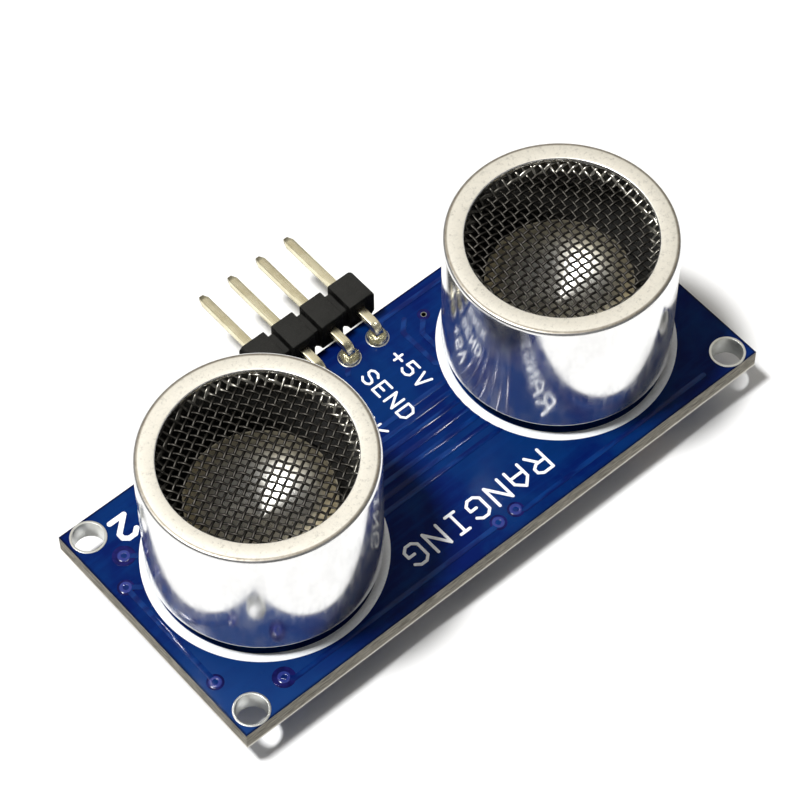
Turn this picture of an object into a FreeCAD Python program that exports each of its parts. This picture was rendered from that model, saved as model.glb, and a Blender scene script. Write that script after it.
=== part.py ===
import FreeCAD, Part
import math
import os

# Ultrasonic ranging module: a small circuit board that carries a transmitter and a receiver
# transducer on its front face and a right-angle four-pin header on one long edge.
# Frame: origin at the centre of the four mounting holes on the board's back face, +X from the
# receiver to the transmitter, +Y towards the header's edge, +Z out of the front face.
# All sizes are in millimetres.

V = FreeCAD.Vector
X_AXIS, Y_AXIS, Z_AXIS = V(1, 0, 0), V(0, 1, 0), V(0, 0, 1)

# Circuit board
board_length = 45.6
board_width = 19.8
board_thickness = 1.6
mount_hole_radius = 1.1
mount_hole_inset_x = 1.5
mount_hole_inset_y = 1.3
mount_ring_width = 0.18
plating = 0.05

# Through holes that join the copper of the two faces
via_hole_radius = 0.17
via_wall = 0.08
via_inset_x = 1.0
via_edge_inset = 1.4

# Header
pin_count = 4
pin_pitch = 2.54
pin_width = 0.64
pin_free_length = 5.75
pin_tip_length = 0.5
pin_tip_width = 0.34
pin_bend_radius = 0.55
pin_tail = 1.4
pad_edge_inset = 1.67
pad_hole_radius = 0.5
pad_radius = 0.84
housing_length = 2.5
housing_chamfer = 0.3
housing_web_drop = 0.42
housing_edge_gap = 0.05
pin_fit = 0.01

# Transducers
transducer_spacing = 26.2
can_radius = 8.0
can_wall = 0.4
can_height = 10.9
can_lift = 1.1
can_edge_round = 0.3
front_lip = 0.4
front_lip_width = 1.47
mesh_pitch = 0.55
mesh_wire = 0.2
receiver_mesh_turn = 30.0
transmitter_mesh_turn = -4.0
mesh_thickness = 0.24
mesh_border = 0.35
base_fit = 0.05
base_foot_inset = 0.45
base_plug = 1.3
terminal_radius = 0.5
terminal_spacing = 10.0
terminal_stand = 0.7
terminal_tail = 1.9
terminal_pad_radius = 1.1
terminal_fit = 0.02
damper_inner_radius = 3.7
damper_outer_radius = 4.35
damper_height = 1.6
damper_slot = 0.9
plate_radius = 4.35
plate_thickness = 0.3
piezo_radius = 3.3
piezo_thickness = 0.5
cone_foot_radius = 1.3
cone_top_radius = 5.1
cone_height = 2.7
cone_wall = 0.16
lead_radius = 0.12
lead_sag = 0.22
lead_landing = 0.6

# Solder
solder_rise = 0.55
solder_drop = 0.82
solder_neck = 0.5
terminal_solder_drop = 1.1
terminal_solder_neck = 0.66

# Parts on the back face
chip_pin_pitch = 1.27
chip_body_width = 3.9
chip_body_height = 1.45
chip_standoff = 0.1
chip_end_margin = 0.52
chip_bevel = 0.22
leg_span = 6.0
leg_width = 0.42
leg_thickness = 0.2
leg_foot = 0.6
chip_column = 7.6
controller_shift = 0.5
large_part_inset = 2.2
transistor_shift = 0.2
reservoir_shift = 0.4
resistor_size = (1.6, 0.8, 0.45)
capacitor_size = (1.6, 0.8, 0.8)
reservoir_size = (3.2, 1.6, 1.5)
end_cap = 0.32
cap_overhang = 0.03
resistor_pitch = 1.8
resistor_rows = 5
resistor_column = 4.6
resistor_pair = (1.2, 1.6)
capacitor_pitch = 1.8
low_capacitor_start = 5.2
low_capacitor_count = 3
low_capacitor_inset = 1.9
high_capacitor_start = 7.2
high_capacitor_count = 2
high_capacitor_inset = 2.4
crystal_size = (3.2, 2.5, 0.55)
crystal_lid_inset = 0.2
crystal_lid_height = 0.25
transistor_size = (2.9, 1.3, 1.0)
transistor_leg_pitch = 0.95
transistor_leg_reach = 0.55

# Places worked out from the sizes above
front = board_thickness
hole_x = board_length / 2 - mount_hole_inset_x
hole_y = board_width / 2 - mount_hole_inset_y
edge_y = board_width / 2
pad_y = edge_y - pad_edge_inset
pin_z = front + pin_pitch / 2
housing_y = edge_y + housing_edge_gap
pin_names = ("supply", "trigger", "echo", "ground")
pin_places = [pin_pitch * ((pin_count - 1) / 2 - i) for i in range(pin_count)]
receiver_x = -transducer_spacing / 2
transmitter_x = transducer_spacing / 2
terminal_places = [(x, side * terminal_spacing / 2)
                   for x in (receiver_x, transmitter_x) for side in (-1, 1)]
can_inner_radius = can_radius - can_wall
window_radius = can_radius - front_lip_width
base_foot_radius = can_inner_radius - base_foot_inset
can_bottom = front + can_lift
can_top = can_bottom + can_height
base_top = can_bottom + base_plug
plate_bottom = base_top + damper_height
cone_bottom = plate_bottom + plate_thickness
corner_x = board_length / 2 - via_inset_x
via_places = [
    (7.52, edge_y - 2.3), (-corner_x + 1.4, edge_y - 4.0), (-corner_x, edge_y - 6.0),
    (-corner_x, -edge_y + 4.4), (receiver_x - 5.1, -edge_y + via_edge_inset + 0.35),
    (0.16, -edge_y + via_edge_inset), (1.72, -edge_y + via_edge_inset),
]


def block(size, centre, bottom):
    """A box centred on centre in X and Y, standing on bottom."""
    return Part.makeBox(size[0], size[1], size[2],
                        V(centre[0] - size[0] / 2, centre[1] - size[1] / 2, bottom))


def disc(radius, height, centre, bottom):
    return Part.makeCylinder(radius, height, V(centre[0], centre[1], bottom), Z_AXIS)


def tube(outer, inner, height, centre, bottom):
    return disc(outer, height, centre, bottom).cut(disc(inner, height, centre, bottom))


def frustum(radius_low, radius_high, height, centre, bottom):
    return Part.makeCone(radius_low, radius_high, height, V(centre[0], centre[1], bottom), Z_AXIS)


def outline_face(points):
    return Part.Face(Part.makePolygon(points + [points[0]]))


def turned(profile, centre):
    """A solid of revolution about the vertical through centre; profile holds (radius, z)."""
    face = outline_face([V(centre[0] + r, centre[1], z) for r, z in profile])
    return face.revolve(V(centre[0], centre[1], 0), Z_AXIS, 360)


def union(shapes):
    joined = shapes[0]
    for shape in shapes[1:]:
        joined = joined.fuse(shape)
    return joined.removeSplitter()


def group(shapes):
    return Part.makeCompound(shapes)


def eyelet(bore, wall, ring_radius, centre, rings):
    """A plated hole: a barrel through the board with a flat ring on each face in rings."""
    shape = tube(bore + wall, bore, board_thickness, centre, 0)
    bottoms = {"front": front, "back": -plating}
    for face in rings:
        shape = shape.fuse(tube(ring_radius, bore, plating, centre, bottoms[face]))
    return shape.removeSplitter()


# ---- circuit board -----------------------------------------------------------------------

def mount_hole_places():
    return [(sx * hole_x, sy * hole_y) for sx in (-1, 1) for sy in (-1, 1)]


def circuit_board():
    board = block((board_length, board_width, board_thickness), (0, 0), 0)
    drills = [(mount_hole_radius + plating, place) for place in mount_hole_places()]
    drills += [(pad_hole_radius + plating, (x, pad_y)) for x in pin_places]
    drills += [(terminal_radius + terminal_fit + plating, place) for place in terminal_places]
    drills += [(via_hole_radius + via_wall, place) for place in via_places]
    for radius, place in drills:
        board = board.cut(disc(radius, board_thickness, place, 0))
    return board


def mounting_hole_plating():
    ring = mount_hole_radius + mount_ring_width
    return group([eyelet(mount_hole_radius, plating, ring, place, ("front", "back"))
                  for place in mount_hole_places()])


def header_pads():
    return group([eyelet(pad_hole_radius, plating, pad_radius, (x, pad_y), ("front", "back"))
                  for x in pin_places])


def transducer_pads():
    bore = terminal_radius + terminal_fit
    return group([eyelet(bore, plating, terminal_pad_radius, place, ("back",))
                  for place in terminal_places])


def via_barrels():
    return group([tube(via_hole_radius + via_wall, via_hole_radius, board_thickness, place, 0)
                  for place in via_places])


# ---- header ------------------------------------------------------------------------------

def square_wire(x, z, width, y):
    half = width / 2
    corners = [V(x - half, y, z - half), V(x + half, y, z - half),
               V(x + half, y, z + half), V(x - half, y, z + half)]
    return Part.makePolygon(corners + [corners[0]])


def header_pin(x):
    """A square wire: tapered tip, straight run through the housing, one bend, tail down."""
    half = pin_width / 2
    tip_y = housing_y + housing_length + pin_free_length
    run_end = tip_y - pin_tip_length
    bend_y = pad_y + pin_bend_radius
    bend_z = pin_z - pin_bend_radius
    tip = Part.makeLoft([square_wire(x, pin_z, pin_width, run_end),
                         square_wire(x, pin_z, pin_tip_width, tip_y)], True)
    run = Part.makeBox(pin_width, run_end - bend_y, pin_width, V(x - half, bend_y, pin_z - half))
    section = Part.Face(square_wire(x, pin_z, pin_width, bend_y))
    bend = section.revolve(V(x, bend_y, bend_z), X_AXIS, 90)
    tail = Part.makeBox(pin_width, pin_width, bend_z + pin_tail,
                        V(x - half, pad_y - half, -pin_tail))
    return union([run, tip, bend, tail])


def header_housing():
    """Square-section moulding with bevelled corners, necked between the pins."""
    width = pin_pitch
    cut = housing_chamfer
    shapes = []
    for x in pin_places:
        low, high, left, right = front, front + width, x - width / 2, x + width / 2
        outline = [V(left + cut, housing_y, low), V(right - cut, housing_y, low),
                   V(right, housing_y, low + cut), V(right, housing_y, high - cut),
                   V(right - cut, housing_y, high), V(left + cut, housing_y, high),
                   V(left, housing_y, high - cut), V(left, housing_y, low + cut)]
        shapes.append(outline_face(outline).extrude(Y_AXIS * housing_length))
    housing = union(shapes)
    neck = 2 * cut
    for left, right in zip(pin_places[1:], pin_places[:-1]):
        middle = (left + right) / 2
        for y in (housing_y, housing_y + housing_length - cut):
            housing = housing.cut(block((neck, cut, width), (middle, y + cut / 2), front))
        top = block((neck, housing_length, housing_web_drop),
                    (middle, housing_y + housing_length / 2), front + width - housing_web_drop)
        housing = housing.cut(top)
    bore = pin_width + 2 * pin_fit
    for x in pin_places:
        slot = Part.makeBox(bore, housing_length, bore,
                            V(x - bore / 2, housing_y, pin_z - bore / 2))
        housing = housing.cut(slot)
    return housing


def header_solder_joints(pins):
    joints = []
    for x, pin in zip(pin_places, pins):
        place = (x, pad_y)
        upper = frustum(pad_radius - plating, solder_neck, solder_rise, place, front + plating)
        lower = frustum(solder_neck, pad_radius - plating, solder_drop, place,
                        -plating - solder_drop)
        joints += [upper.cut(pin), lower.cut(pin)]
    return group(joints)


# ---- transducers -------------------------------------------------------------------------

def transducer_can(centre):
    """Drawn aluminium cup with an open back and a round window in its front."""
    outer = disc(can_radius, can_height, centre, can_bottom)
    rim = [edge for edge in outer.Edges
           if len(edge.Vertexes) == 1 and edge.BoundBox.ZMin > can_top - 0.01]
    outer = outer.makeFillet(can_edge_round, rim)
    hollow = disc(can_inner_radius, can_height - front_lip, centre, can_bottom)
    window = disc(window_radius, front_lip, centre, can_top - front_lip)
    return outer.cut(hollow).cut(window)


def mesh_screen(centre, turn):
    """Round screen of square openings, its weave turned by turn degrees, in a plain border."""
    top = can_top - front_lip
    radius = can_inner_radius - base_fit
    limit = window_radius + mesh_border
    opening = mesh_pitch - mesh_wire
    reach = int(limit / mesh_pitch) + 1
    holes = []
    for i in range(-reach, reach + 1):
        for j in range(-reach, reach + 1):
            x, y = i * mesh_pitch, j * mesh_pitch
            if math.hypot(abs(x) + opening / 2, abs(y) + opening / 2) < limit:
                low = V(centre[0] + x - opening / 2, centre[1] + y - opening / 2, top)
                corners = [low, low + X_AXIS * opening, low + (X_AXIS + Y_AXIS) * opening,
                           low + Y_AXIS * opening]
                holes.append(Part.makePolygon(corners + [corners[0]]))
    rim = Part.Wire(Part.makeCircle(radius, V(centre[0], centre[1], top), Z_AXIS))
    sheet = Part.makeFace([rim] + holes, "Part::FaceMakerBullseye")
    screen = sheet.extrude(Z_AXIS * -mesh_thickness)
    return screen.rotate(V(centre[0], centre[1], 0), Z_AXIS, turn)


def transducer_base(centre):
    """Stepped plug that closes the can's back, with a foot that stands on the board."""
    plug_radius = can_inner_radius - base_fit
    base = disc(base_foot_radius, can_lift, centre, front)
    base = base.fuse(disc(plug_radius, base_plug, centre, can_bottom)).removeSplitter()
    bore = terminal_radius + terminal_fit
    for side in (-1, 1):
        place = (centre[0], centre[1] + side * terminal_spacing / 2)
        base = base.cut(disc(bore, can_lift + base_plug, place, front))
    return base


def terminals(centre):
    pins = []
    for side in (-1, 1):
        place = (centre[0], centre[1] + side * terminal_spacing / 2)
        length = base_top + terminal_stand + terminal_tail
        pins.append(disc(terminal_radius, length, place, -terminal_tail))
    return pins


def damping_ring(centre):
    ring = tube(damper_outer_radius, damper_inner_radius, damper_height, centre, base_top)
    slots = block((damper_slot, 2 * damper_outer_radius + 1, damper_height), centre, base_top)
    return ring.cut(slots)


def vibrating_plate(centre):
    return disc(plate_radius, plate_thickness, centre, plate_bottom)


def piezo_disc(centre):
    return disc(piezo_radius, piezo_thickness, centre, plate_bottom - piezo_thickness)


def radiating_cone(centre):
    """Thin open funnel with a flat foot bonded to the vibrating plate."""
    low, high = cone_bottom, cone_bottom + cone_height
    profile = [(0, low), (cone_foot_radius, low), (cone_top_radius, high),
               (cone_top_radius - cone_wall, high), (cone_foot_radius - cone_wall / 2, low + cone_wall),
               (0, low + cone_wall)]
    return turned(profile, centre)


def lead_wires(centre):
    """Two fine wires, each arched from a terminal's side to the underside of the piezo disc."""
    wires = []
    start_z = base_top + terminal_stand - lead_radius * 2
    end_z = plate_bottom - piezo_thickness - lead_radius
    for side in (-1, 1):
        start_y = side * (terminal_spacing / 2 - terminal_radius + lead_radius)
        end_y = side * (piezo_radius - lead_landing)
        middle = V(centre[0], centre[1] + (start_y + end_y) / 2,
                   min(start_z, end_z) - lead_sag)
        start = V(centre[0], centre[1] + start_y, start_z)
        end = V(centre[0], centre[1] + end_y, end_z)
        arc = Part.Arc(start, middle, end)
        path = Part.Wire(arc.toShape())
        section = Part.Wire(Part.makeCircle(lead_radius, start, arc.tangent(arc.FirstParameter)[0]))
        wire = path.makePipeShell([section], True, True)
        wires.append(wire)
    return wires


def terminal_solder_joints():
    joints = []
    for place in terminal_places:
        fillet = frustum(terminal_solder_neck, terminal_pad_radius - plating,
                         terminal_solder_drop, place, -plating - terminal_solder_drop)
        joints.append(fillet.cut(disc(terminal_radius, terminal_tail, place, -terminal_tail)))
    return group(joints)


# ---- parts on the back face --------------------------------------------------------------

def chip_body(pins, centre):
    """Moulded package, its long side along Y, hanging under the board."""
    length = (pins / 2 - 1) * chip_pin_pitch + 2 * chip_end_margin
    bottom = -chip_standoff - chip_body_height
    body = block((chip_body_width, length, chip_body_height), centre, bottom)
    lower = [edge for edge in body.Edges if edge.BoundBox.ZMax < bottom + 0.01]
    return body.makeChamfer(chip_bevel, lower)


def chip_legs(pins, centre):
    """Gull-wing legs along both long sides; each foot lies on the board."""
    legs = []
    shoulder = -chip_standoff - chip_body_height / 2
    inner, outer, knee = chip_body_width / 2, leg_span / 2, leg_span / 2 - leg_foot
    thick = leg_thickness
    half_row = (pins / 2 - 1) / 2
    for side in (-1, 1):
        profile = [(inner, shoulder), (inner, shoulder - thick), (knee - thick / 2, shoulder - thick),
                   (knee + thick / 2, -thick), (outer, -thick), (outer, 0),
                   (knee - thick / 2, 0), (knee - 1.5 * thick, shoulder)]
        for i in range(pins // 2):
            y = centre[1] + (i - half_row) * chip_pin_pitch - leg_width / 2
            points = [V(centre[0] + side * x, y, z) for x, z in profile]
            legs.append(outline_face(points).extrude(Y_AXIS * leg_width))
    return group(legs)


def chip_part(size, centre, along_y):
    """A two-terminal chip part as (body, end caps), hanging under the board."""
    length, width, height = size
    middle = length - 2 * end_cap
    inset = cap_overhang
    if along_y:
        body = block((width - 2 * inset, middle, height - inset), centre, -height + inset)
        caps = [block((width, end_cap, height), (centre[0], centre[1] + s * (length - end_cap) / 2),
                      -height) for s in (-1, 1)]
    else:
        body = block((middle, width - 2 * inset, height - inset), centre, -height + inset)
        caps = [block((end_cap, width, height), (centre[0] + s * (length - end_cap) / 2, centre[1]),
                      -height) for s in (-1, 1)]
    return body, caps


def chip_parts(size, places):
    bodies, caps = [], []
    for x, y, along_y in places:
        body, ends = chip_part(size, (x, y), along_y)
        bodies.append(body)
        caps += ends
    return group(bodies), group(caps)


def resistor_places():
    """A column outside each transducer and two pairs between its terminals."""
    column_x = transducer_spacing / 2 + resistor_column
    rows = [resistor_pitch * (i - (resistor_rows - 1) / 2) for i in range(resistor_rows)]
    places = [(side * column_x, y, False) for side in (-1, 1) for y in rows]
    pair_x, pair_y = resistor_pair
    places += [(x + sx * pair_x, sy * pair_y, True) for x in (receiver_x, transmitter_x)
               for sx in (-1, 1) for sy in (-1, 1)]
    return places


def capacitor_places():
    """Rows along both long edges, mirrored about the middle of the board."""
    low = [low_capacitor_start + i * capacitor_pitch for i in range(low_capacitor_count)]
    high = [high_capacitor_start + i * capacitor_pitch for i in range(high_capacitor_count)]
    places = [(side * x, low_capacitor_inset - edge_y, True) for side in (-1, 1) for x in low]
    places += [(side * x, edge_y - high_capacitor_inset, True) for side in (-1, 1) for x in high]
    return places


def crystal(centre):
    length, width, height = crystal_size
    base = block((length, width, height), centre, -height)
    lid_size = (length - 2 * crystal_lid_inset, width - 2 * crystal_lid_inset, crystal_lid_height)
    lid = block(lid_size, centre, -height - crystal_lid_height)
    return base, lid


def transistor(centre):
    length, width, height = transistor_size
    body = block((width, length, height), centre, -chip_standoff - height)
    legs = []
    for side, offset in ((-1, -transistor_leg_pitch), (-1, transistor_leg_pitch), (1, 0)):
        x = centre[0] + side * (width + transistor_leg_reach) / 2
        foot = block((transistor_leg_reach, leg_width, leg_thickness),
                     (x, centre[1] + offset), -leg_thickness)
        near = centre[0] + side * (width / 2 + leg_thickness / 2)
        post = block((leg_thickness, leg_width, height / 2 + chip_standoff),
                     (near, centre[1] + offset), -height / 2 - chip_standoff)
        legs.append(union([foot, post]))
    return body, group(legs)


# ---- the whole module --------------------------------------------------------------------

def transducer_nodes(name, x, mesh_turn):
    centre = (x, 0)
    pins = terminals(centre)
    return {
        name + "_can": transducer_can(centre),
        name + "_mesh_screen": mesh_screen(centre, mesh_turn),
        name + "_radiating_cone": radiating_cone(centre),
        name + "_vibrating_plate": vibrating_plate(centre),
        name + "_piezo_disc": piezo_disc(centre),
        name + "_damping_ring": damping_ring(centre),
        name + "_base": transducer_base(centre),
        name + "_terminals": group(pins),
        name + "_lead_wires": group([wire.cut(group(pins)) for wire in lead_wires(centre)]),
    }


def board_nodes():
    return {
        "circuit_board": circuit_board(),
        "mounting_hole_plating": mounting_hole_plating(),
        "header_pads": header_pads(),
        "transducer_pads": transducer_pads(),
        "via_barrels": via_barrels(),
        "transducer_solder_joints": terminal_solder_joints(),
    }


def header_nodes():
    pins = [header_pin(x) for x in pin_places]
    nodes = {name + "_pin": pin for name, pin in zip(pin_names, pins)}
    nodes["header_housing"] = header_housing()
    nodes["header_solder_joints"] = header_solder_joints(pins)
    return nodes


def back_face_nodes():
    middle = (0, -controller_shift)
    left, right = (-chip_column, 0), (chip_column, 0)
    low = large_part_inset - edge_y
    nodes = {}
    for name, pins, centre in (("controller_chip", 14, middle), ("amplifier_chip", 14, left),
                               ("driver_chip", 16, right)):
        nodes[name] = chip_body(pins, centre)
        nodes[name + "_legs"] = chip_legs(pins, centre)
    nodes["chip_resistors"], nodes["resistor_end_caps"] = chip_parts(resistor_size, resistor_places())
    nodes["chip_capacitors"], nodes["capacitor_end_caps"] = chip_parts(capacitor_size,
                                                                       capacitor_places())
    reservoir_place = [(transmitter_x + reservoir_shift, low, False)]
    nodes["reservoir_capacitor"], nodes["reservoir_end_caps"] = chip_parts(reservoir_size,
                                                                           reservoir_place)
    nodes["crystal_base"], nodes["crystal_lid"] = crystal((0, low))
    nodes["switching_transistor"], nodes["transistor_legs"] = transistor((receiver_x - transistor_shift, low))
    return nodes


nodes = {}
nodes.update(board_nodes())
nodes.update(header_nodes())
nodes.update(transducer_nodes("receiver", receiver_x, receiver_mesh_turn))
nodes.update(transducer_nodes("transmitter", transmitter_x, transmitter_mesh_turn))
nodes.update(back_face_nodes())
os.makedirs("parts", exist_ok=True)
for node_name, shape in nodes.items():
    if not shape.isValid():
        raise RuntimeError(node_name + " is not a valid shape")
    shape.exportStep("parts/" + node_name + ".step")
    print(node_name, len(shape.Solids), round(shape.Volume, 3))
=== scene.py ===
import math

import bmesh
import bpy
from bpy.props import FloatProperty, FloatVectorProperty, IntProperty, PointerProperty
from mathutils import Matrix, Quaternion, Vector


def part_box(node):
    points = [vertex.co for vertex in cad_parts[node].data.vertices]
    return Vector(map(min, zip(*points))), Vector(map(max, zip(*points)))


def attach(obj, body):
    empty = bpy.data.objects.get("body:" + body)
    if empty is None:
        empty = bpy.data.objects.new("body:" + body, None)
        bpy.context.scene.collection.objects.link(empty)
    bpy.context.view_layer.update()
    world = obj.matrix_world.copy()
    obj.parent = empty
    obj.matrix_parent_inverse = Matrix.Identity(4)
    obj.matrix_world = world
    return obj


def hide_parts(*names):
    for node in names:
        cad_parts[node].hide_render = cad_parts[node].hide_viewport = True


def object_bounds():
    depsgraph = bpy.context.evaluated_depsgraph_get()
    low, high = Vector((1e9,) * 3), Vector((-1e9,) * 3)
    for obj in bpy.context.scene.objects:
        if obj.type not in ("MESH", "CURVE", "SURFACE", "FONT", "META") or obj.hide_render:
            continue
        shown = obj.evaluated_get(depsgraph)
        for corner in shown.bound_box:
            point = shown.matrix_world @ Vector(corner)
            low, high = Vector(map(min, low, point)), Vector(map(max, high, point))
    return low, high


bl_info = {
    "name": "Ultrasonic Ranging Module",
    "version": (1, 0, 0),
    "blender": (4, 5, 0),
    "location": "3D View > Sidebar > Ranging Module",
    "description": "Finishes a circuit board with two ultrasonic transducers and a header",
    "category": "Object",
}

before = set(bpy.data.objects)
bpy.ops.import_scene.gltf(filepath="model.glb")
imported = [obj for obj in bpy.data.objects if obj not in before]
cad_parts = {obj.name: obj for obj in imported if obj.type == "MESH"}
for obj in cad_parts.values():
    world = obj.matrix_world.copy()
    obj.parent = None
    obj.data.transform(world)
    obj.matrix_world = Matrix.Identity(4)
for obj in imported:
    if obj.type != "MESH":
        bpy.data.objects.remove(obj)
CAD_BOX = [list(corner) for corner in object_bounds()]


def middle_of(box):
    """The middle of a box given by its two corners."""
    return (box[0] + box[1]) / 2


MM = 0.001
WELD = 1e-7
FLAT = math.radians(0.5)
SHARP = math.radians(32)
TRANSDUCERS = ("receiver", "transmitter")
PINS = ("supply", "trigger", "echo", "ground")
CHIPS = ("controller_chip", "amplifier_chip", "driver_chip")
END_CAPS = ("resistor_end_caps", "capacitor_end_caps", "reservoir_end_caps")
BOARD_LOW, BOARD_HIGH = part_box("circuit_board")
FRONT, BACK = BOARD_HIGH.z, BOARD_LOW.z
MID_BOARD, HALF_BOARD = (FRONT + BACK) / 2 / MM, (FRONT - BACK) / 2 / MM
FACES = ((FRONT, 1), (BACK, -1))
SUNK = 0.005 * MM
CAN_CENTRE = middle_of(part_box("transmitter_can")).x


# ---- shader maths ------------------------------------------------------------------------

class Value:
    """A node's output that can be used in sums; each sum adds Math nodes."""

    def __init__(self, finish, socket):
        self.finish = finish
        self.socket = socket

    def math(self, operation, *terms):
        return self.finish.add("ShaderNodeMath", {"operation": operation}, dict(enumerate(terms)))

    def __add__(self, other):
        return self.math("ADD", self, other)

    def __radd__(self, other):
        return self.math("ADD", other, self)

    def __sub__(self, other):
        return self.math("SUBTRACT", self, other)

    def __rsub__(self, other):
        return self.math("SUBTRACT", other, self)

    def __mul__(self, other):
        return self.math("MULTIPLY", self, other)

    def __rmul__(self, other):
        return self.math("MULTIPLY", other, self)

    def __gt__(self, other):
        return self.math("GREATER_THAN", self, other)

    def __abs__(self):
        return self.math("ABSOLUTE", self)

    def sine(self):
        return self.math("SINE", self)

    def root(self):
        return self.math("SQRT", self)

    def between(self, low, high, start=0.0, end=1.0):
        """A soft step from start to end as the value goes from low to high."""
        return self.finish.add("ShaderNodeMapRange", {"interpolation_type": "SMOOTHSTEP"},
                               {0: self, 1: low, 2: high, 3: start, 4: end})

    def smallest(self, other):
        return self.math("MINIMUM", self, other)

    def largest(self, other):
        return self.math("MAXIMUM", self, other)


class Finish:
    """A surface finish: one material with one Principled shader and the nodes that feed it."""

    def __init__(self, name, metallic=0.0, **constants):
        self.material = bpy.data.materials.new(name)
        self.material.use_nodes = True
        self.tree = self.material.node_tree
        self.tree.nodes.clear()
        output = self.tree.nodes.new("ShaderNodeOutputMaterial")
        self.shader = self.tree.nodes.new("ShaderNodeBsdfPrincipled")
        self.tree.links.new(self.shader.outputs[0], output.inputs["Surface"])
        self.sockets = {s.name.lower().replace(" ", "_"): s for s in self.shader.inputs}
        self.feed(metallic=metallic, **constants)

    def add(self, kind, settings=None, inputs=None, output=0):
        """Adds a node: its settings first, then the value or link of each named input."""
        node = self.tree.nodes.new(kind)
        for name, value in (settings or {}).items():
            setattr(node, name, value)
        for name, value in (inputs or {}).items():
            if isinstance(value, Value):
                self.tree.links.new(value.socket, node.inputs[name])
            else:
                node.inputs[name].default_value = value
        return Value(self, node.outputs[output])

    def place(self, scale=(1, 1, 1)):
        """Object coordinates in millimetres, stretched by scale."""
        raw = self.add("ShaderNodeTexCoord", output="Object")
        factors = [factor / MM for factor in scale]
        return self.add("ShaderNodeMapping", None, {"Vector": raw, "Scale": factors})

    def axes(self, vector=None):
        """The x, y and z of a vector, or else of the place in millimetres."""
        vector = vector or self.place()
        return [self.add("ShaderNodeSeparateXYZ", None, {0: vector}, axis) for axis in range(3)]

    def can_radius(self):
        """The place across and along from the nearer can's axis, and the distance from it."""
        x, y, _ = self.axes()
        across = x - ((x > 0) * 2 - 1) * (CAN_CENTRE / MM)
        return across, y, (across * across + y * y).root()

    def facing_up(self):
        """The upward part of the surface's own normal."""
        return self.axes(self.add("ShaderNodeTexCoord", output="Normal"))[2]

    def noise(self, scale, detail=3.0, roughness=0.5, stretch=(1, 1, 1)):
        return self.add("ShaderNodeTexNoise", None,
                        {"Vector": self.place(stretch), "Scale": scale, "Detail": detail,
                         "Roughness": roughness})

    def cells(self, scale):
        return self.add("ShaderNodeTexVoronoi", None, {"Vector": self.place(), "Scale": scale},
                        "Distance")

    def blend(self, factor, first, second):
        """Two colours mixed by factor."""
        first, second = [c if isinstance(c, Value) else (*c[:3], 1.0) for c in (first, second)]
        return self.add("ShaderNodeMix", {"data_type": "RGBA"}, {0: factor, 6: first, 7: second},
                        2)

    def bump(self, height, depth, strength=1.0):
        """Relief of the given depth in millimetres."""
        return self.add("ShaderNodeBump", None,
                        {"Strength": strength, "Distance": depth * MM, "Height": height})

    def feed(self, **sockets):
        """Links or sets the shader's own sockets and returns the material."""
        for name, value in sockets.items():
            socket = self.sockets[name]
            if isinstance(value, Value):
                self.tree.links.new(value.socket, socket)
            else:
                socket.default_value = value if not isinstance(value, tuple) else (*value, 1.0)
        return self.material


# ---- shapes ------------------------------------------------------------------------------

def rounded(corners, steps=4):
    """Points of an outline whose corners, given as (across, up, radius), are rounded off."""
    points = []
    for i, (across, up, radius) in enumerate(corners):
        corner = Vector((across, up))
        if radius <= 0:
            points.append(corner)
            continue
        before = (Vector(corners[i - 1][:2]) - corner).normalized()
        after = (Vector(corners[(i + 1) % len(corners)][:2]) - corner).normalized()
        half = before.angle(after) / 2
        centre = corner + (before + after).normalized() * radius / math.sin(half)
        start = corner + before * radius / math.tan(half) - centre
        end = corner + after * radius / math.tan(half) - centre
        sweep = start.angle(end)
        for step in range(steps + 1):
            way = step / steps
            weight = math.sin((1 - way) * sweep), math.sin(way * sweep)
            points.append(centre + (start * weight[0] + end * weight[1]) / math.sin(sweep))
    return points


def lathe(outline, centre, segments, closed=True):
    """A solid of revolution about the vertical through centre; an open outline ends on it."""
    bm = bmesh.new()
    verts = [bm.verts.new((centre[0] + across, centre[1], up)) for across, up in outline]
    ends = verts[1:] + verts[:1] if closed else verts[1:]
    edges = [bm.edges.new(pair) for pair in zip(verts, ends)]
    bmesh.ops.spin(bm, geom=verts + edges, cent=(centre[0], centre[1], 0), axis=(0, 0, 1),
                   angle=2 * math.pi, steps=segments, use_merge=True)
    bmesh.ops.remove_doubles(bm, verts=bm.verts, dist=WELD)
    return bm


def bar(start, end, width, low, high, sides=12):
    """A flat round-ended bar from start to end."""
    bm = bmesh.new()
    way = Vector(end) - Vector(start)
    turn = math.atan2(way.y, way.x)
    half_step = math.pi / sides
    place = (Matrix.Translation((start[0], start[1], low))
             @ Matrix.Rotation(turn + half_step, 4, "Z"))
    bmesh.ops.create_circle(bm, cap_ends=True, segments=sides, matrix=place,
                            radius=width / 2 / math.cos(half_step))
    ahead = [v for v in bm.verts
             if (v.co.xy - Vector(start)).dot(Vector((math.cos(turn), math.sin(turn)))) > 0]
    bmesh.ops.translate(bm, verts=ahead, vec=(way.x, way.y, 0))
    raised = bmesh.ops.extrude_face_region(bm, geom=bm.faces[:])
    top = [g for g in raised["geom"] if isinstance(g, bmesh.types.BMVert)]
    bmesh.ops.translate(bm, verts=top, vec=(0, 0, high - low))
    return bm


def path(points, width, low, high, sides=12):
    """A run of flat bars through points."""
    return [bar(a, b, width, low, high, sides) for a, b in zip(points, points[1:])]


def slab(extent, centre, low, high):
    """A block of the given extent across, from low to high."""
    bm = bmesh.new()
    middle = (centre[0], centre[1], (low + high) / 2)
    bmesh.ops.create_cube(bm, size=1.0, matrix=Matrix.Translation(middle)
                          @ Matrix.Diagonal((extent[0], extent[1], high - low, 1)))
    return bm


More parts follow.
